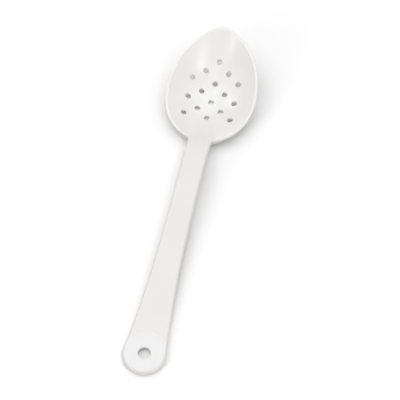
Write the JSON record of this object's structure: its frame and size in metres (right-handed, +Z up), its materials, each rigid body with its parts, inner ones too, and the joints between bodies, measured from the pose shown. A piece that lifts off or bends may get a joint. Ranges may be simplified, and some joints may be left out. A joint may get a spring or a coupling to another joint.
{
  "type": "perforated serving spoon",
  "caption": "One-piece moulded serving spoon with an egg-shaped, perforated draining bowl and a flared handle with a hang hole.",
  "frame": {"origin": "centre of the spoon's length and width, on the table that it lies on", "axes": "+X from the hang hole towards the tip of the bowl, +Z up out of the table, bowl open upwards, +Y to the left of +X"},
  "size_m": [0.28, 0.068, 0.0298],
  "materials": {
    "white_plastic": "glossy, as moulded"
  },
  "bodies": {
    "root": {"bowl": "white_plastic", "neck": "white_plastic", "handle": "white_plastic", "hang_end": "white_plastic"}
  },
  "joints": []
}
